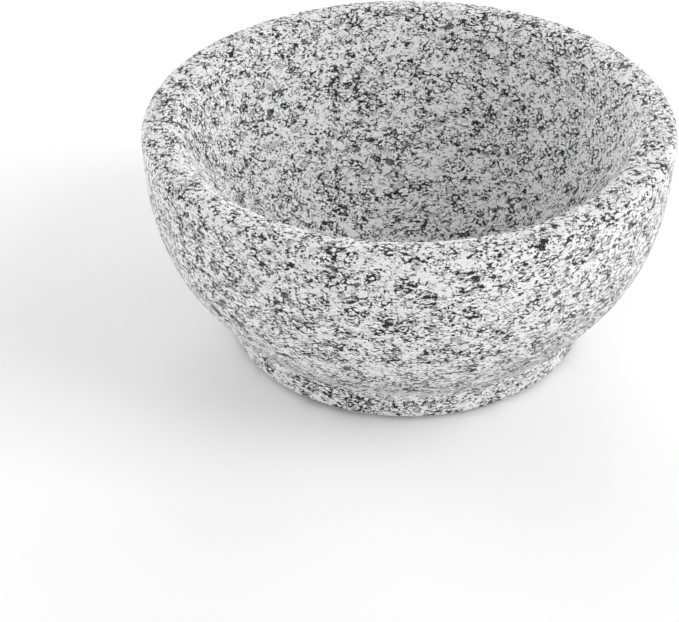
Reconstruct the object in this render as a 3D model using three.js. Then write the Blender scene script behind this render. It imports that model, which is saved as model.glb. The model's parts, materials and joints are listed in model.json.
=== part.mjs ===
// A molcajete: a mortar bowl turned from one block of granite, with four
// anti-slip pads stuck under its foot.
//
// Millimetres, +Z up. The origin is on the bowl's axis, in the plane that the
// pads stand on.

import * as THREE from 'three';

// ---- The stone: sizes that are set by themselves ----

const BOWL_DIAMETER = 160;     // widest place, at the shoulder
const BOWL_HEIGHT = 72.5;      // underside of the foot to the top of the rim
const RIM_WALL = 14.4;         // shoulder to the narrowest place of the mouth
const FLOOR_THICKNESS = 25;    // stone under the deepest point of the hollow
const SHOULDER_DROP = 9.5;     // top of the rim down to the widest place
const OUTER_LIP_RADIUS = 3;    // rounded edge between the outer wall and the rim
const INNER_LIP_RADIUS = 8;    // rounded edge between the rim and the hollow
const FOOT_DIAMETER = 115.4;   // at its underside
const FOOT_HEIGHT = 9.5;
const FOOT_DRAFT = 1;          // the foot's radius grows by this from bottom to top
const FOOT_EDGE_RADIUS = 1.2;  // rounded edge at the underside
const COVE_RADIUS = 1.5;       // hollow corner where the wall meets the foot

// The wall is one curve from the foot to the shoulder. Its two handles are given
// as shares of the wall's own overhang and rise, so that it stays fair.
const LOWER_HANDLE = { overhang: 0.71, rise: 0.33 };
const UPPER_HANDLE = { rise: 0.47 };

// ---- The anti-slip pads ----

const PAD_COUNT = 4;
const PAD_DIAMETER = 14;
const PAD_THICKNESS = 1.2;
const PAD_EDGE_BEVEL = 0.3;
const PAD_SETBACK = 7;         // rim of a pad to the edge of the foot
const PAD_FIRST_ANGLE = Math.PI / 4;
const ADHESIVE_GAP = 0.3;      // the glue line between a pad and the stone

// ---- How finely round shapes are divided ----

const BOWL_SEGMENTS = 72;
const PAD_SEGMENTS = 32;
const WALL_STEPS = 14;
const HOLLOW_STEPS = 16;
const LIP_STEPS = 5;
const EDGE_STEPS = 2;

// ---- Heights and radii that follow ----

const FOOT_Z = PAD_THICKNESS + ADHESIVE_GAP;
const RIM_Z = FOOT_Z + BOWL_HEIGHT;
const BOWL_RADIUS = BOWL_DIAMETER / 2;
const FOOT_RADIUS = FOOT_DIAMETER / 2;

/** Points on an arc about (r, z), from one angle to another, both ends included. */
function arcPoints(r, z, radius, fromAngle, toAngle, steps) {
  const clockwise = toAngle < fromAngle;
  const arc = new THREE.EllipseCurve(r, z, radius, radius, fromAngle, toAngle, clockwise);
  return arc.getPoints(steps);
}

/** The underside of the foot, its rounded edge and its side, up to the cove. */
function footOutline(coveStart) {
  const r = FOOT_RADIUS - FOOT_EDGE_RADIUS;
  const z = FOOT_Z + FOOT_EDGE_RADIUS;
  return [
    new THREE.Vector2(0, FOOT_Z),
    ...arcPoints(r, z, FOOT_EDGE_RADIUS, -Math.PI / 2, 0, EDGE_STEPS),
    coveStart,
  ];
}

/** The wall's curve, from the top of the foot to the shoulder. */
function wallCurve() {
  const start = new THREE.Vector2(FOOT_RADIUS + FOOT_DRAFT, FOOT_Z + FOOT_HEIGHT);
  const end = new THREE.Vector2(BOWL_RADIUS, RIM_Z - SHOULDER_DROP);
  const overhang = end.x - start.x;
  const rise = end.y - start.y;
  return new THREE.CubicBezierCurve(
    start,
    new THREE.Vector2(start.x + LOWER_HANDLE.overhang * overhang, start.y + LOWER_HANDLE.rise * rise),
    new THREE.Vector2(end.x, end.y - UPPER_HANDLE.rise * rise),
    end,
  );
}

/** The rim between its two rounded edges, which are arcs tangent to the top plane. */
function rimOutline(mouthRadius) {
  const outer = arcPoints(
    BOWL_RADIUS - OUTER_LIP_RADIUS, RIM_Z - OUTER_LIP_RADIUS, OUTER_LIP_RADIUS,
    0, Math.PI / 2, LIP_STEPS,
  );
  return [...outer, ...innerLip(mouthRadius).points];
}

/**
 * The inner lip and the sphere that hollows the bowl. The sphere touches the
 * floor and runs smoothly into the lip's arc: its radius follows from the two.
 */
function innerLip(mouthRadius) {
  const lip = new THREE.Vector2(mouthRadius + INNER_LIP_RADIUS, RIM_Z - INNER_LIP_RADIUS);
  const floorZ = FOOT_Z + FLOOR_THICKNESS;
  const drop = lip.y - floorZ;
  const sphereRadius =
    (lip.x ** 2 + drop ** 2 - INNER_LIP_RADIUS ** 2) / (2 * (drop + INNER_LIP_RADIUS));
  const sphereZ = floorZ + sphereRadius;
  const meetAngle = Math.atan2(lip.y - sphereZ, lip.x);
  const points = arcPoints(
    lip.x, lip.y, INNER_LIP_RADIUS, Math.PI / 2, Math.PI + meetAngle, LIP_STEPS,
  );
  return { points, sphereRadius, sphereZ, meetAngle };
}

/** The hollow, from the lip down to the deepest point on the axis. */
function hollowOutline(mouthRadius) {
  const { sphereRadius, sphereZ, meetAngle } = innerLip(mouthRadius);
  const points = arcPoints(
    0, sphereZ, sphereRadius, meetAngle, -Math.PI / 2, HOLLOW_STEPS,
  );
  points.at(-1).x = 0;
  return points.slice(1);
}

/** The bowl's half section, as one closed outline that starts and ends on the axis. */
function bowlOutline() {
  const mouthRadius = BOWL_RADIUS - RIM_WALL;
  const wall = wallCurve();
  const coveShare = COVE_RADIUS / wall.getLength();
  const coveEnd = wall.getPointAt(coveShare);
  const foot = wall.getPointAt(0);
  const coveStart = new THREE.Vector2(
    foot.x - FOOT_DRAFT * COVE_RADIUS / FOOT_HEIGHT, foot.y - COVE_RADIUS,
  );
  const cove = new THREE.QuadraticBezierCurve(coveStart, foot, coveEnd).getPoints(EDGE_STEPS);
  const wallPoints = Array.from({ length: WALL_STEPS }, (_, i) =>
    wall.getPointAt(coveShare + (1 - coveShare) * (i + 1) / WALL_STEPS));
  return [
    ...footOutline(coveStart),
    ...cove.slice(1),
    ...wallPoints,
    ...rimOutline(mouthRadius),
    ...hollowOutline(mouthRadius),
  ];
}

/** A half section turned about the vertical axis. */
function turned(outline, segments) {
  return new THREE.LatheGeometry(outline, segments).rotateX(Math.PI / 2);
}

function named(name, geometry, material) {
  const mesh = new THREE.Mesh(geometry, material);
  mesh.name = name;
  return mesh;
}

/** One pad: a flat disc with both of its edges bevelled, standing on z = 0. */
function padGeometry() {
  const r = PAD_DIAMETER / 2;
  const outline = [
    [0, 0],
    [r - PAD_EDGE_BEVEL, 0],
    [r, PAD_EDGE_BEVEL],
    [r, PAD_THICKNESS - PAD_EDGE_BEVEL],
    [r - PAD_EDGE_BEVEL, PAD_THICKNESS],
    [0, PAD_THICKNESS],
  ];
  return turned(outline.map(([x, y]) => new THREE.Vector2(x, y)), PAD_SEGMENTS);
}

const granite = new THREE.MeshStandardMaterial({ color: 0xc9c9c8, roughness: 0.75, metalness: 0 });
const padRubber = new THREE.MeshStandardMaterial({ color: 0x2b2b2c, roughness: 0.85, metalness: 0 });

const molcajete = new THREE.Group();
molcajete.add(named('bowl', turned(bowlOutline(), BOWL_SEGMENTS), granite));

const padCircle = FOOT_RADIUS - PAD_SETBACK - PAD_DIAMETER / 2;
for (let i = 0; i < PAD_COUNT; i++) {
  const angle = PAD_FIRST_ANGLE + i * 2 * Math.PI / PAD_COUNT;
  const pad = named(`foot_pad_${i + 1}`, padGeometry(), padRubber);
  pad.position.set(padCircle * Math.cos(angle), padCircle * Math.sin(angle), 0);
  molcajete.add(pad);
}

export default molcajete;
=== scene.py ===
"""Granite molcajete: a mortar bowl turned from one block of speckled stone, on four pads.

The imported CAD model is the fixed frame. This script replaces its plain solids by finished
pieces of the same size, a bowl with the relief and grain of honed granite and four
anti-slip pads, and sets them on a pale studio floor.
"""

import json
import logging
import math
from dataclasses import dataclass, field
from enum import Enum
from itertools import pairwise

import bmesh
import bpy
from mathutils import Matrix, Vector, noise

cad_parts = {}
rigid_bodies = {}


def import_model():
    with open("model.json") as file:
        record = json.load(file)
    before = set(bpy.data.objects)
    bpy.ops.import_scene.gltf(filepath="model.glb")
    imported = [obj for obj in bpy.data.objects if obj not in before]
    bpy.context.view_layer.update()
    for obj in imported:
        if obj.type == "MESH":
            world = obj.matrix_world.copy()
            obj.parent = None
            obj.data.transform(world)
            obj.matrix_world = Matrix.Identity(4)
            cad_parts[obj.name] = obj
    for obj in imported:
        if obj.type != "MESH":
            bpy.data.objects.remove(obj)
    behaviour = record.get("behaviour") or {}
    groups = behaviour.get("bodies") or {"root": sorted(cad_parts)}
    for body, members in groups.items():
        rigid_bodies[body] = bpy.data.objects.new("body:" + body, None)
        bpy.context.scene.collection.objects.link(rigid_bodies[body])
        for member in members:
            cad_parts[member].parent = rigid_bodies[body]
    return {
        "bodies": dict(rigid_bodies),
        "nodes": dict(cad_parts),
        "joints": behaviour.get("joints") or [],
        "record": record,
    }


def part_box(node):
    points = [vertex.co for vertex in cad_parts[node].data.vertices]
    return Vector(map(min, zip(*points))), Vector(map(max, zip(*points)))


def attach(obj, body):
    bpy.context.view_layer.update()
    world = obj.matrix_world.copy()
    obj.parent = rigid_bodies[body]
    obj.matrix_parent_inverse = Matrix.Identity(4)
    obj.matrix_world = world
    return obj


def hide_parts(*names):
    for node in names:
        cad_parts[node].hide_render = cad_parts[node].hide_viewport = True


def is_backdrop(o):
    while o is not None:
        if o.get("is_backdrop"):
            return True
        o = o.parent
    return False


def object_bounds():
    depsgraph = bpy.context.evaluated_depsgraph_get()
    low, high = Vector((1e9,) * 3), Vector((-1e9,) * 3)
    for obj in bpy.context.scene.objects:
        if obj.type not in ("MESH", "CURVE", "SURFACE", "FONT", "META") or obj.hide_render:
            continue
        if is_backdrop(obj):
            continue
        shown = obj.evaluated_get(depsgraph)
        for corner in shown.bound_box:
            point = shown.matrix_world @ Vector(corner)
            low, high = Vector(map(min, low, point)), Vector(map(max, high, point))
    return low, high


MM = 0.001
TOLERANCE = MM / 1000           # points nearer than this are one point
CURVE_STEPS = 4                 # the fewest steps of a curved stretch
CURVE_SLACK = 1.06              # how much longer a curved stretch is than its chord
NOISE_MIDDLE = 0.5
NOISE_SWING = 0.25              # how far a noise swings either side of its middle
NOISE_SPAN = (0.3, 0.7)         # where nearly all values of a noise lie
log = logging.getLogger("molcajete")

Socket = bpy.types.NodeSocket
Tone = tuple[float, float, float, float]


def grey(value: float) -> Tone:
    """An opaque neutral colour of that linear value."""
    return (value, value, value, 1.0)


def raised(value: float) -> float:
    """Moves a noise that swings from -1 to 1 up, so that it swings from 0 to 1."""
    return 0.5 + 0.5 * value


# ---------------------------------------------------------------- outlines and solids


class Outline:
    """A half section in the plane of radius and height, drawn from lines, arcs and curves."""

    def __init__(self, start: Vector, spacing: float) -> None:
        """Starts the outline.

        Args:
            start: The first point, as (radius, height).
            spacing: The wanted distance between the points of a curved stretch.
        """
        self.points: list[Vector] = [start]
        self.spacing = spacing

    def _steps(self, length: float) -> int:
        """How many steps a stretch of that length takes."""
        return max(1, math.ceil(length / self.spacing))

    def line_to(self, end: Vector, steps: int | None = None) -> None:
        """Adds a straight stretch.

        Args:
            end: Its far end.
            steps: How many parts it has, or None to follow the outline's spacing.
        """
        start = self.points[-1]
        count = steps or self._steps((end - start).length)
        self.points += [start.lerp(end, i / count) for i in range(1, count + 1)]

    def arc(self, centre: Vector, radius: float, start_angle: float, end_angle: float) -> None:
        """Adds an arc that begins where the outline ends.

        Args:
            centre: The arc's centre.
            radius: Its radius.
            start_angle: The angle of its first point, in radians.
            end_angle: The angle of its last point, in radians.
        """
        count = max(CURVE_STEPS, self._steps(radius * abs(end_angle - start_angle)))
        for i in range(1, count + 1):
            angle = start_angle + (end_angle - start_angle) * i / count
            self.points.append(centre + radius * Vector((math.cos(angle), math.sin(angle))))

    def curve_to(self, handle_a: Vector, handle_b: Vector, end: Vector) -> None:
        """Adds a cubic curve.

        Args:
            handle_a: The handle at its near end.
            handle_b: The handle at its far end.
            end: Its far end.
        """
        start = self.points[-1]
        count = max(CURVE_STEPS, self._steps((end - start).length * CURVE_SLACK))
        for i in range(1, count + 1):
            t = i / count
            near = start.lerp(handle_a, t)
            middle = handle_a.lerp(handle_b, t)
            far = handle_b.lerp(end, t)
            self.points.append(near.lerp(middle, t).lerp(middle.lerp(far, t), t))

    def turned(self, steps: int) -> bmesh.types.BMesh:
        """Spins the outline once about the vertical axis.

        Args:
            steps: How many steps the full turn has.

        Returns:
            A closed shape whose faces point outwards.
        """
        shape = bmesh.new()
        verts = [shape.verts.new((p.x, 0, p.y)) for p in self.points]
        edges = [shape.edges.new(pair) for pair in pairwise(verts)]
        bmesh.ops.spin(
            shape, geom=verts + edges, cent=(0, 0, 0), axis=(0, 0, 1),
            angle=2 * math.pi, steps=steps, use_merge=True,
        )
        bmesh.ops.remove_doubles(shape, verts=shape.verts, dist=TOLERANCE)
        bmesh.ops.recalc_face_normals(shape, faces=shape.faces)
        return shape


def finished_piece(
    name: str, shape: bmesh.types.BMesh, *materials: bpy.types.Material,
) -> bpy.types.Object:
    """Makes a smooth-shaded object at the origin from a shape, and frees the shape.

    Args:
        name: The piece's name.
        shape: Its shape, in the frame's own coordinates.
        materials: Its materials, in the order of its faces' material numbers.

    Returns:
        The new object.
    """
    mesh = bpy.data.meshes.new(name)
    for face in shape.faces:
        face.smooth = True
    shape.to_mesh(mesh)
    shape.free()
    for material in materials:
        mesh.materials.append(material)
    piece = bpy.data.objects.new(name, mesh)
    bpy.context.scene.collection.objects.link(piece)
    return piece


# ---------------------------------------------------------------- finishes


class CellPart(Enum):
    """What is measured in a cell texture."""

    MIDDLE = "F1"
    BORDER = "DISTANCE_TO_EDGE"


class NodeSheet:
    """One material's node tree, with short ways to add nodes and link them."""

    def __init__(self, name: str) -> None:
        """Makes the material and finds its shader.

        Args:
            name: The material's name.
        """
        self.material = bpy.data.materials.new(name)
        self.material.use_nodes = True
        self.tree = self.material.node_tree
        self.shader = self.tree.nodes["Principled BSDF"]

    def set(self, node: bpy.types.Node, inputs: dict[str | int, object]) -> bpy.types.Node:
        """Sets a node's sockets to values, or links them to other nodes' outputs.

        Args:
            node: The node.
            inputs: A value or an output socket for each input, by name or number.

        Returns:
            The same node.
        """
        for key, value in inputs.items():
            socket = node.inputs[key]
            if isinstance(value, Socket):
                self.tree.links.new(value, socket)
            else:
                socket.default_value = value
        return node

    def add(self, kind: str, inputs: dict[str | int, object], **settings: object) -> bpy.types.Node:
        """Adds a node.

        Args:
            kind: The node's type, without its ShaderNode prefix.
            inputs: What its sockets hold or are linked to.
            settings: The node's own options.

        Returns:
            The new node.
        """
        node = self.tree.nodes.new("ShaderNode" + kind)
        for key, value in settings.items():
            setattr(node, key, value)
        return self.set(node, inputs)

    def math(self, operation: str, *values: object) -> Socket:
        """The result of a maths node on those values."""
        return self.add("Math", dict(enumerate(values)), operation=operation).outputs[0]

    def vector(self, operation: str, *values: object, scale: object = None) -> Socket:
        """Adds a vector maths node.

        Args:
            operation: What it does.
            values: The vectors it works on, as values or sockets.
            scale: The number it scales by, where it scales.

        Returns:
            The resulting vector.
        """
        inputs: dict[str | int, object] = dict(enumerate(values))
        if scale is not None:
            inputs["Scale"] = scale
        return self.add("VectorMath", inputs, operation=operation).outputs["Vector"]

    def band(
        self, value: Socket, low: float, high: float, first: float = 0.0, last: float = 1.0,
    ) -> Socket:
        """Maps a range of values to another with soft ends, and holds the ends beyond.

        Args:
            value: The value to map.
            low: The start of its range.
            high: The end of its range.
            first: What low becomes.
            last: What high becomes.

        Returns:
            The mapped value.
        """
        node = self.add(
            "MapRange",
            {"Value": value, "From Min": low, "From Max": high, "To Min": first, "To Max": last},
            interpolation_type="SMOOTHSTEP",
        )
        return node.outputs["Result"]

    def spread(self, value: Socket, first: float, last: float) -> Socket:
        """Maps a noise's usual span of values to first..last."""
        return self.band(value, *NOISE_SPAN, first, last)

    def noise(
        self, place: Socket, size: float, detail: float = 2.0, roughness: float = 0.5,
    ) -> bpy.types.Node:
        """Adds a noise texture.

        Args:
            place: Where it is looked up.
            size: About how large its features are, in the units of place.
            detail: How many finer layers it has.
            roughness: How strong the finer layers are.

        Returns:
            The texture's node.
        """
        return self.add(
            "TexNoise",
            {"Vector": place, "Scale": 1 / size, "Detail": detail, "Roughness": roughness},
            noise_dimensions="3D",
        )

    def cells(self, place: Socket, size: float, part: CellPart = CellPart.MIDDLE) -> bpy.types.Node:
        """Adds a cell texture.

        Args:
            place: Where it is looked up.
            size: About how large its cells are, in the units of place.
            part: What its distance is measured from.

        Returns:
            The texture's node.
        """
        return self.add(
            "TexVoronoi", {"Vector": place, "Scale": 1 / size, "Randomness": 1.0},
            feature=part.value, voronoi_dimensions="3D",
        )

    def shaken(self, place: Socket, reach: float, size: float) -> Socket:
        """Moves a place to and fro.

        Args:
            place: The place.
            reach: How far it moves at most, about.
            size: How far apart the swings are.

        Returns:
            The moved place.
        """
        wave = self.noise(place, size, 1.0).outputs["Color"]
        shift = self.vector("SUBTRACT", wave, (NOISE_MIDDLE,) * 3)
        return self.vector("MULTIPLY_ADD", shift, (reach / NOISE_MIDDLE,) * 3, place)

    def mix(self, factor: object, a: object, b: object) -> Socket:
        """Mixes two colours.

        Args:
            factor: How much of the second colour there is.
            a: The first colour, as a value or a socket.
            b: The second colour, as a value or a socket.

        Returns:
            The mixed colour.
        """
        node = self.tree.nodes.new("ShaderNodeMix")
        node.data_type = "RGBA"
        for identifier, value in (("Factor_Float", factor), ("A_Color", a), ("B_Color", b)):
            socket = next(s for s in node.inputs if s.identifier == identifier)
            if isinstance(value, Socket):
                self.tree.links.new(value, socket)
            else:
                socket.default_value = value
        return next(s for s in node.outputs if s.identifier == "Result_Color")

    def place_mm(self) -> Socket:
        """The piece's own coordinates in millimetres."""
        source = self.add("TexCoord", {}).outputs["Object"]
        return self.add("Mapping", {"Vector": source, "Scale": (1 / MM,) * 3}).outputs["Vector"]


@dataclass(frozen=True)
class GraniteFinish:
    """Light grey granite: pale feldspar, glassy quartz and flakes of black mica.

    The mica lies in thin plates that wrap round the pale grains and gather in loose
    clusters, so that the cut stone shows short bent strokes and some broad flakes. The
    lathe has drawn all of it out a little along its own lines. Sizes are in millimetres.
    """

    name: str = "honed_granite"
    block: tuple[float, float, float] = (31.0, 12.0, 57.0)  # which part of the block is used
    bedding: float = 1.45           # how much flatter the pattern lies than it is wide
    grain: float = 2.3              # a pale grain
    grain_drift: float = 0.85       # how far the grains' borders bend
    drift_size: float = 2.4
    plate: float = 0.88             # a mica plate, across
    plate_thinness: float = 4.5     # how fast plates follow each other across a border
    fold: float = 0.6               # how far plates are folded out of the border's line
    fold_size: float = 1.2
    ragged: float = 0.18            # how far the edge of a plate wanders
    ragged_size: float = 0.3
    cluster: float = 5.0
    border: tuple[float, float] = (0.05, 0.38)  # mica is common below, rare above
    share_at_border: float = 0.59
    share_in_grain: float = 0.18
    cluster_share: tuple[float, float] = (0.35, 1.7)
    mica_dark: float = 0.006
    mica_light: float = 0.03
    feldspar: tuple[float, float] = (0.71, 0.78)
    quartz: float = 0.48            # smoky grains
    quartz_share: float = 0.04
    hornblende: float = 0.15        # the few dark grains
    hornblende_share: float = 0.009
    cloud: tuple[float, float] = (0.94, 1.03)   # tone of the wide soft clouds
    cloud_size: float = 5.0
    cloud_detail: tuple[float, float] = (4.0, 0.65)
    speck: tuple[float, float] = (0.87, 1.09)   # tone of the fine drawn specks
    speck_size: float = 0.3
    speck_detail: tuple[float, float] = (2.0, 0.6)
    speck_run: float = 0.35         # how fast specks change along a line, against across it
    lathe_line: float = 0.35        # from one line to the next
    lathe_run: float = 0.04         # how fast the lines themselves change along their way
    lathe_drag: float = 0.38        # how far a line shifts the pattern, either way
    lathe_depth: float = 0.02
    roughness: tuple[float, float] = (0.6, 0.78)
    specular: float = 0.27
    pore_depth: float = 0.05
    tooth_depth: float = 0.03       # the fine bite of the honed surface
    tooth_size: float = 0.35
    tooth_detail: tuple[float, float] = (3.0, 0.6)
    bump: float = 0.6

    def _lathe(self, sheet: NodeSheet, own: Socket) -> tuple[Socket, Socket, Socket]:
        """Finds the lines that the lathe left around the axis.

        Args:
            sheet: The material's nodes.
            own: The position from the axis, in millimetres.

        Returns:
            The direction along a line, the position across the lines, and the line there.
        """
        flat = sheet.vector("MULTIPLY", own, (1, 1, 0))
        along = sheet.vector("NORMALIZE", sheet.vector("CROSS_PRODUCT", (0, 0, 1), flat))
        radius = sheet.add("VectorMath", {0: flat}, operation="LENGTH").outputs["Value"]
        height = sheet.add("SeparateXYZ", {0: own}).outputs["Z"]
        across = sheet.add("CombineXYZ", {"X": radius, "Z": height}).outputs[0]
        line = sheet.noise(
            sheet.vector("MULTIPLY_ADD", own, (self.lathe_run,) * 3, across), self.lathe_line, 1.0,
        ).outputs["Fac"]
        return along, across, line

    def _grains(self, sheet: NodeSheet, drifted: Socket) -> Socket:
        """Colours the grains, one tone for each.

        Args:
            sheet: The material's nodes.
            drifted: The position among the grains, whose borders bend.

        Returns:
            The colour of the grain at a point.
        """
        pick = sheet.add("SeparateColor", {0: sheet.cells(drifted, self.grain).outputs["Color"]})
        feldspar = sheet.mix(pick.outputs[0], *(grey(tone) for tone in self.feldspar))
        is_quartz = sheet.math("LESS_THAN", pick.outputs[1], self.quartz_share)
        is_hornblende = sheet.math("LESS_THAN", pick.outputs[2], self.hornblende_share)
        pale = sheet.mix(is_quartz, feldspar, grey(self.quartz))
        return sheet.mix(is_hornblende, pale, grey(self.hornblende))

    def _mica(self, sheet: NodeSheet, place: Socket, drifted: Socket) -> tuple[Socket, Socket]:
        """Finds where the mica lies.

        Args:
            sheet: The material's nodes.
            place: The position, in millimetres.
            drifted: The position among the grains, whose borders bend.

        Returns:
            Whether a point is mica, from 0 to 1, and a random number for its plate.
        """
        border = sheet.cells(drifted, self.grain, CellPart.BORDER).outputs["Distance"]
        from_border = sheet.math("MULTIPLY", border, self.grain)
        fold = sheet.noise(place, self.fold_size, 1.0).outputs["Fac"]
        layer = sheet.math("MULTIPLY_ADD", fold, self.fold / NOISE_MIDDLE, from_border)
        plates = sheet.add(
            "TexVoronoi",
            {
                "Vector": sheet.shaken(place, self.ragged, self.ragged_size),
                "W": sheet.math("MULTIPLY", layer, self.plate_thinness),
                "Scale": 1 / self.plate, "Randomness": 1.0,
            },
            voronoi_dimensions="4D",
        )
        plate_place = sheet.math("MULTIPLY_ADD", plates.outputs["W"], 1 / self.plate_thinness, -self.fold)
        usual = sheet.band(plate_place, *self.border, self.share_at_border, self.share_in_grain)
        cluster = sheet.noise(plates.outputs["Position"], self.cluster, 2.0).outputs["Fac"]
        share = sheet.math("MULTIPLY", usual, sheet.spread(cluster, *self.cluster_share))
        pick = sheet.add("SeparateColor", {0: plates.outputs["Color"]})
        is_mica = sheet.math("LESS_THAN", pick.outputs[0], share)
        return is_mica, pick.outputs[1]

    def make(self) -> bpy.types.Material:
        """Builds the material.

        Returns:
            The new material.
        """
        sheet = NodeSheet(self.name)
        own = sheet.place_mm()
        along, across, line = self._lathe(sheet, own)
        swing = sheet.math("SUBTRACT", line, NOISE_MIDDLE)
        drag = sheet.math("MULTIPLY", swing, self.lathe_drag / NOISE_SWING)
        cut = sheet.vector("ADD", own, self.block)
        dragged = sheet.vector("ADD", cut, sheet.vector("SCALE", along, scale=drag))
        place = sheet.vector("MULTIPLY", dragged, (1, 1, self.bedding))
        drifted = sheet.shaken(place, self.grain_drift, self.drift_size)
        is_mica, pick = self._mica(sheet, place, drifted)

        cloud = sheet.noise(place, self.cloud_size, *self.cloud_detail).outputs["Fac"]
        drawn = sheet.vector("MULTIPLY_ADD", cut, (self.speck_run,) * 3, across)
        speck = sheet.noise(drawn, self.speck_size, *self.speck_detail).outputs["Fac"]
        tone = sheet.math("MULTIPLY", sheet.spread(cloud, *self.cloud), sheet.spread(speck, *self.speck))
        pale = sheet.vector("SCALE", self._grains(sheet, drifted), scale=tone)
        mica = sheet.mix(pick, grey(self.mica_dark), grey(self.mica_light))

        tooth = sheet.noise(place, self.tooth_size, *self.tooth_detail).outputs["Fac"]
        pores = sheet.math("MULTIPLY", is_mica, -self.pore_depth)
        height = sheet.math("MULTIPLY_ADD", tooth, self.tooth_depth, pores)
        height = sheet.math("MULTIPLY_ADD", speck, self.lathe_depth, height)
        bump = sheet.add("Bump", {"Strength": self.bump, "Distance": MM, "Height": height})
        sheet.set(sheet.shader, {
            "Base Color": sheet.mix(is_mica, pale, mica),
            "Roughness": sheet.spread(tooth, *self.roughness),
            "Specular IOR Level": self.specular,
            "Normal": bump.outputs["Normal"],
        })
        return sheet.material


@dataclass(frozen=True)
class PadFinish:
    """Dark closed-cell foam rubber, with a fine even grain. Sizes are in millimetres."""

    name: str = "pad_rubber"
    dark: float = 0.022
    light: float = 0.05
    cell: float = 0.25
    pit_shade_width: float = 0.8          # painted shade in a cell's pit, fading out where the cell's wall is at its palest
    cell_depth: float = 0.05
    mottle: float = 2.5
    mottle_share: tuple[float, float] = (0.5, 1.0)
    roughness: tuple[float, float] = (0.75, 0.9)
    specular: float = 0.3
    bump: float = 0.5

    def make(self) -> bpy.types.Material:
        """Builds the material.

        Returns:
            The new material.
        """
        sheet = NodeSheet(self.name)
        place = sheet.place_mm()
        cell = sheet.cells(place, self.cell).outputs["Distance"]
        mottle = sheet.noise(place, self.mottle, 3.0).outputs["Fac"]
        # painted shade: each cell is darkest at its middle, the bottom of its bumped pit, and palest at
        # its wall
        pit_shade = sheet.band(cell, 0.0, self.pit_shade_width)
        tone = sheet.math("MULTIPLY", sheet.spread(mottle, *self.mottle_share), pit_shade)
        bump = sheet.add(
            "Bump", {"Strength": self.bump, "Distance": self.cell_depth * MM, "Height": cell},
        )
        sheet.set(sheet.shader, {
            "Base Color": sheet.mix(tone, grey(self.dark), grey(self.light)),
            "Roughness": sheet.spread(mottle, *self.roughness),
            "Specular IOR Level": self.specular,
            "Normal": bump.outputs["Normal"],
        })
        return sheet.material


@dataclass(frozen=True)
class GlueFinish:
    """The clear-white film of glue between a pad and the stone. Sizes are in millimetres."""

    name: str = "pad_glue"
    dark: float = 0.35
    light: float = 0.55
    haze: float = 1.2
    roughness: float = 0.4

    def make(self) -> bpy.types.Material:
        """Builds the material.

        Returns:
            The new material.
        """
        sheet = NodeSheet(self.name)
        haze = sheet.noise(sheet.place_mm(), self.haze).outputs["Fac"]
        sheet.set(sheet.shader, {
            "Base Color": sheet.mix(haze, grey(self.dark), grey(self.light)),
            "Roughness": self.roughness,
        })
        return sheet.material


@dataclass(frozen=True)
class FloorFinish:
    """A seamless pale studio sweep."""

    name: str = "studio_floor"
    tone: float = 0.9
    roughness: float = 0.85
    specular: float = 0.0

    def make(self) -> bpy.types.Material:
        """Builds the material.

        Returns:
            The new material.
        """
        sheet = NodeSheet(self.name)
        sheet.set(sheet.shader, {
            "Base Color": grey(self.tone), "Roughness": self.roughness,
            "Specular IOR Level": self.specular,
        })
        return sheet.material


# ---------------------------------------------------------------- the bowl


@dataclass(frozen=True)
class StoneRelief:
    """How far the honed surface lies under the true turned shape, in metres.

    Every part of it goes inwards, so that the stone stays inside its turned size.
    """

    sway: float = 0.16 * MM         # long unevenness left by hand honing
    sway_size: float = 38 * MM
    grain: float = 0.09 * MM        # grains that stand a little proud of each other
    grain_size: float = 2.6 * MM
    grain_layers: tuple[float, float, int] = (0.8, 2.0, 2)  # falloff, step in size, number
    chip: float = 0.28 * MM         # the deepest chips
    chip_spacing: float = 5.5 * MM
    chip_share: float = 0.3
    chip_radius: float = 0.24       # as a share of the spacing
    chip_slope: float = 0.7         # below 1 makes the sides of a chip steep
    chip_pick: float = 37.0         # which of the places hold a chip

    def depth(self, place: Vector) -> float:
        """Finds how deep the surface lies.

        Args:
            place: A place on the turned shape.

        Returns:
            The depth there, in metres.
        """
        sway = raised(noise.noise(place / self.sway_size))
        grain = raised(noise.fractal(place / self.grain_size, *self.grain_layers))
        return self.sway * sway + self.grain * max(0.0, grain) + self._chip(place)

    def _chip(self, place: Vector) -> float:
        """Finds how deep a chip is.

        Args:
            place: A place on the turned shape.

        Returns:
            The chip's depth there, in metres, or 0 where there is none.
        """
        distances, centres = noise.voronoi(place / self.chip_spacing)
        chance = raised(noise.cell(centres[0] * self.chip_pick))
        if chance > self.chip_share:
            return 0.0
        radius = self.chip_radius * (0.5 + chance / self.chip_share)
        inside = max(0.0, 1 - distances[0] / radius)
        return self.chip * chance / self.chip_share * inside ** self.chip_slope


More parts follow.
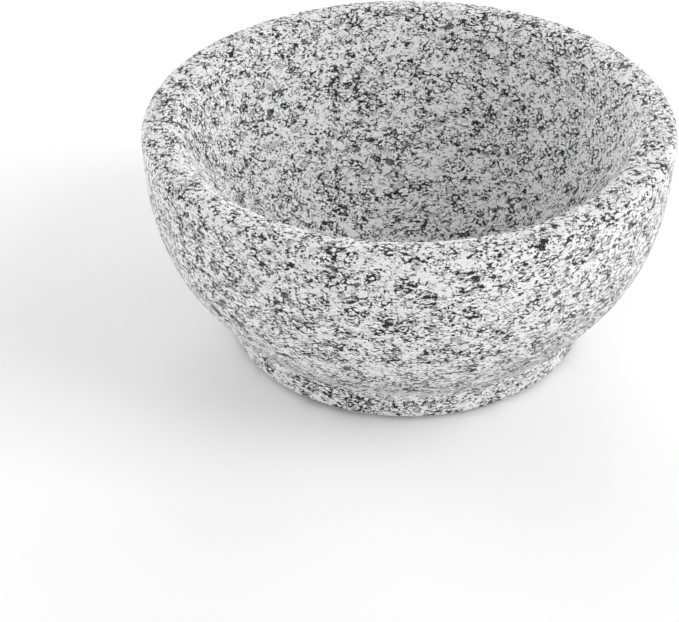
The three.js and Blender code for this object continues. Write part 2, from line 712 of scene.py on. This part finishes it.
@dataclass
class MortarBowl:
    """The stone: foot, wall, rim and hollow in one closed piece."""

    radius: float
    foot_z: float
    rim_z: float
    rim_wall: float = 14.4 * MM
    floor_thickness: float = 25 * MM
    shoulder_drop: float = 9.5 * MM
    outer_lip: float = 3 * MM
    inner_lip: float = 8 * MM
    foot_radius: float = 57.7 * MM
    foot_height: float = 9.5 * MM
    foot_draft: float = 1 * MM
    foot_edge: float = 1.2 * MM
    cove: float = 1.5 * MM
    lower_handle: tuple[float, float] = (0.71, 0.33)
    upper_handle: float = 0.47
    ring_spacing: float = 0.95 * MM
    underside_rings: int = 12
    turn_steps: int = 470
    relief: StoneRelief = field(default_factory=StoneRelief)
    finish: GraniteFinish = field(default_factory=GraniteFinish)

    @classmethod
    def from_frame(cls) -> "MortarBowl":
        """A bowl of the size that the frame gives."""
        low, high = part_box("bowl")
        return cls(radius=high.x, foot_z=low.z, rim_z=high.z)

    def outline(self) -> Outline:
        """Draws the half section of the stone.

        Returns:
            The outline, from the middle of the underside round to the deepest point.
        """
        section = Outline(Vector((0, self.foot_z)), self.ring_spacing)
        edge = Vector((self.foot_radius - self.foot_edge, self.foot_z + self.foot_edge))
        section.line_to(Vector((edge.x, self.foot_z)), self.underside_rings)
        section.arc(edge, self.foot_edge, -math.pi / 2, 0)
        corner = Vector((self.foot_radius + self.foot_draft, self.foot_z + self.foot_height))
        side = (corner - section.points[-1]).normalized()
        section.line_to(corner - self.cove * side)
        self._draw_wall(section, corner)
        self._draw_rim_and_hollow(section)
        return section

    def _draw_wall(self, section: Outline, corner: Vector) -> None:
        """Draws the wall from the top of the foot up to the outer lip.

        Args:
            section: The outline to add it to.
            corner: Where the wall's curve and the side of the foot would meet.
        """
        shoulder = Vector((self.radius, self.rim_z - self.shoulder_drop))
        run = shoulder - corner
        overhang_share, rise_share = self.lower_handle
        handle = corner + Vector((overhang_share * run.x, rise_share * run.y))
        cove_end = corner + self.cove * (handle - corner).normalized()
        section.curve_to(corner, corner, cove_end)
        section.curve_to(handle, shoulder - Vector((0, self.upper_handle * run.y)), shoulder)
        section.line_to(Vector((self.radius, self.rim_z - self.outer_lip)))

    def _draw_rim_and_hollow(self, section: Outline) -> None:
        """Draws both lips, the flat between them and the spherical hollow.

        Args:
            section: The outline to add them to.
        """
        outer = Vector((self.radius - self.outer_lip, self.rim_z - self.outer_lip))
        section.arc(outer, self.outer_lip, 0, math.pi / 2)
        inner = Vector((self.radius - self.rim_wall + self.inner_lip, self.rim_z - self.inner_lip))
        section.line_to(Vector((inner.x, self.rim_z)))
        floor_z = self.foot_z + self.floor_thickness
        drop = inner.y - floor_z
        sphere = (inner.x ** 2 + drop ** 2 - self.inner_lip ** 2) / (2 * (drop + self.inner_lip))
        centre = Vector((0, floor_z + sphere))
        meet = math.atan2(inner.y - centre.y, inner.x)
        section.arc(inner, self.inner_lip, math.pi / 2, math.pi + meet)
        section.arc(centre, sphere, meet, -math.pi / 2)
        section.points[-1].x = 0

    def _wear(self, shape: bmesh.types.BMesh) -> None:
        """Lowers each point of the surface by the depth of the relief there.

        Args:
            shape: The turned shape, which is changed.
        """
        shape.normal_update()
        moves = [(vert, vert.normal * -self.relief.depth(vert.co)) for vert in shape.verts]
        for vert, move in moves:
            vert.co += move

    def build(self) -> bpy.types.Object:
        """Builds the bowl and dresses it.

        Returns:
            The finished piece.
        """
        shape = self.outline().turned(self.turn_steps)
        self._wear(shape)
        bowl = finished_piece("stone_bowl", shape, self.finish.make())
        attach(bowl, "root")
        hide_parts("bowl")
        return bowl


# ---------------------------------------------------------------- the pads


@dataclass
class FootPads:
    """The anti-slip pads under the foot, each with its film of glue."""

    nodes: list[str]
    stone_z: float
    edge_radius: float = 0.35 * MM
    edge_steps: int = 3
    cap_rings: int = 3
    cap_ring: float = 0.2           # width of a ring on a cap, as a share of the radius
    glue_inset: float = 0.5 * MM
    turn_steps: int = 64
    finish: PadFinish = field(default_factory=PadFinish)
    glue: GlueFinish = field(default_factory=GlueFinish)

    @classmethod
    def from_frame(cls, frame: dict) -> "FootPads":
        """Pads for each pad node of the frame."""
        names = sorted(name for name in frame["nodes"] if name.startswith("foot_pad"))
        return cls(nodes=names, stone_z=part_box("bowl")[0].z)

    def _disc(self, radius: float, low: float, high: float, bevel: float = 0) -> bmesh.types.BMesh:
        """Makes a flat disc about the vertical axis.

        Args:
            radius: Its radius.
            low: The height of its underside.
            high: The height of its top.
            bevel: The radius of its rounded edges, or 0 for sharp ones.

        Returns:
            The disc.
        """
        shape = bmesh.new()
        bmesh.ops.create_cone(
            shape, cap_ends=True, segments=self.turn_steps, radius1=radius, radius2=radius,
            depth=high - low, matrix=Matrix.Translation((0, 0, (low + high) / 2)),
        )
        if bevel:
            rims = [e for e in shape.edges if abs(e.verts[0].co.z - e.verts[1].co.z) < TOLERANCE]
            bmesh.ops.bevel(
                shape, geom=rims, offset=bevel, affect="EDGES", segments=self.edge_steps,
                profile=0.5, material=-1,
            )
        return shape

    def _film(self, radius: float, low: float) -> bpy.types.Mesh:
        """Shapes the film of glue between a pad and the stone, in the pad's second material.

        Args:
            radius: The pad's radius.
            low: The height of the pad's top.

        Returns:
            The film, as a mesh about the vertical axis.
        """
        film = self._disc(radius - self.glue_inset, low, self.stone_z)
        for face in film.faces:
            face.material_index = 1
        mesh = bpy.data.meshes.new("glue_film")
        film.to_mesh(mesh)
        film.free()
        return mesh

    def _pad(self, node: str) -> bmesh.types.BMesh:
        """Shapes the pad that stands for a node.

        Args:
            node: The node's name.

        Returns:
            The pad with its film of glue, in its place.
        """
        low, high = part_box(node)
        middle = (low + high) / 2
        radius = (high.x - low.x) / 2
        shape = self._disc(radius, low.z, high.z, self.edge_radius)
        caps = [f for f in shape.faces if len(f.verts) == self.turn_steps]
        for _ in range(self.cap_rings):
            bmesh.ops.inset_region(shape, faces=caps, thickness=self.cap_ring * radius)
        film = self._film(radius, high.z)
        shape.from_mesh(film)
        bpy.data.meshes.remove(film)
        bmesh.ops.translate(shape, verts=shape.verts, vec=(middle.x, middle.y, 0))
        return shape

    def build(self) -> list[bpy.types.Object]:
        """Builds every pad and dresses it.

        Returns:
            The finished pads.
        """
        rubber, glue = self.finish.make(), self.glue.make()
        pads = []
        for number, node in enumerate(self.nodes, start=1):
            pad = finished_piece(f"anti_slip_pad_{number}", self._pad(node), rubber, glue)
            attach(pad, "root")
            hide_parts(node)
            pads.append(pad)
        return pads


# ---------------------------------------------------------------- the studio


@dataclass(frozen=True)
class Lamp:
    """A square studio lamp that faces the bowl. Sizes are in metres."""

    name: str
    azimuth: float    # degrees from +X towards +Y
    elevation: float  # degrees
    power: float      # watts
    distance: float = 1.3
    panel: float = 0.7

    def build(self, target: Vector) -> bpy.types.Object:
        """Hangs the lamp and turns it to a target.

        Args:
            target: What it faces.

        Returns:
            The lamp.
        """
        light = bpy.data.lights.new(self.name, "AREA")
        light.shape = "SQUARE"
        light.size = self.panel
        light.energy = self.power
        lamp = bpy.data.objects.new(self.name, light)
        turn, rise = math.radians(self.azimuth), math.radians(self.elevation)
        level = Vector((math.cos(turn), math.sin(turn), 0)) * math.cos(rise)
        direction = level + Vector((0, 0, math.sin(rise)))
        lamp.location = target + self.distance * direction
        lamp.rotation_euler = (-direction).to_track_quat("-Z", "Y").to_euler()
        lamp.visible_camera = False
        bpy.context.scene.collection.objects.link(lamp)
        return lamp


@dataclass(frozen=True)
class CameraStand:
    """Where the camera stands and what it points at."""

    distance: float = 450 * MM       # to the middle of the bowl
    elevation: float = 32.28         # degrees above the horizon
    middle_z: float = 41.5 * MM
    aim: tuple[float, float, float] = (-20.8 * MM, -18.6 * MM, 12.04 * MM)
    roll: float = -1.364             # degrees, clockwise below 0
    lens: float = 75.68              # mm, on a sensor 36 mm wide
    sensor: float = 36.0

    def build(self) -> bpy.types.Object:
        """Makes the camera and sets it as the scene's own.

        Returns:
            The camera.
        """
        data = bpy.data.cameras.new("camera")
        data.lens = self.lens
        data.sensor_width = self.sensor
        data.sensor_fit = "HORIZONTAL"
        data.clip_start = 10 * MM
        camera = bpy.data.objects.new("camera", data)
        rise = math.radians(self.elevation)
        camera.location = (
            0, -self.distance * math.cos(rise), self.middle_z + self.distance * math.sin(rise),
        )
        gaze = Vector(self.aim) - camera.location
        level = gaze.to_track_quat("-Z", "Y").to_matrix()
        camera.rotation_euler = (level @ Matrix.Rotation(math.radians(self.roll), 3, "Z")).to_euler()
        bpy.context.scene.collection.objects.link(camera)
        bpy.context.scene.camera = camera
        return camera


@dataclass
class Studio:
    """The pale floor, the white surroundings, the lamps and the camera."""

    floor_z: float
    target: Vector
    floor_size: float = 40.0        # metres
    sky: float = 0.6
    lamps: tuple[Lamp, ...] = (
        Lamp("left_key", -125, 12, 4.8),
        Lamp("right_key", -15, 12, 5.5),
        Lamp("high_key", -15, 40, 6.0),
        Lamp("right_rim", 30, 12, 4.8),
        Lamp("back_rim", 90, 12, 7.9),
        Lamp("left_rim", 150, 12, 7.9),
    )
    camera: CameraStand = field(default_factory=CameraStand)
    floor: FloorFinish = field(default_factory=FloorFinish)

    def _lay_floor(self) -> None:
        """Lays the floor under the pads."""
        shape = bmesh.new()
        bmesh.ops.create_grid(shape, x_segments=1, y_segments=1, size=self.floor_size / 2)
        bmesh.ops.translate(shape, verts=shape.verts, vec=(0, 0, self.floor_z))
        finished_piece("studio_floor", shape, self.floor.make())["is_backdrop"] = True

    def _light_sky(self) -> None:
        """Lights the scene evenly from all around."""
        world = bpy.data.worlds.new("white_surroundings")
        world.use_nodes = True
        background = world.node_tree.nodes["Background"]
        background.inputs["Color"].default_value = grey(1.0)
        background.inputs["Strength"].default_value = self.sky
        bpy.context.scene.world = world

    def build(self) -> None:
        """Sets up everything around the bowl."""
        self.camera.build()
        self._lay_floor()
        self._light_sky()
        for lamp in self.lamps:
            lamp.build(self.target)
        bpy.context.scene.view_settings.view_transform = "Standard"


def main() -> None:
    """Builds the molcajete and its studio around the frame."""
    logging.basicConfig(level=logging.INFO, format="%(name)s: %(message)s")
    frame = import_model()
    cad_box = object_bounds()
    low, high = cad_box

    studio = Studio(floor_z=low[2], target=Vector((0, 0, (low[2] + high[2]) / 2)))
    studio.build()
    log.info("studio: floor at %.1f mm", low[2] / MM)

    bowl = MortarBowl.from_frame().build()
    log.info("%s: %d faces", bowl.name, len(bowl.data.polygons))
    for pad in FootPads.from_frame(frame).build():
        log.info("%s: %d faces", pad.name, len(pad.data.polygons))


if __name__ == "__main__":
    main()
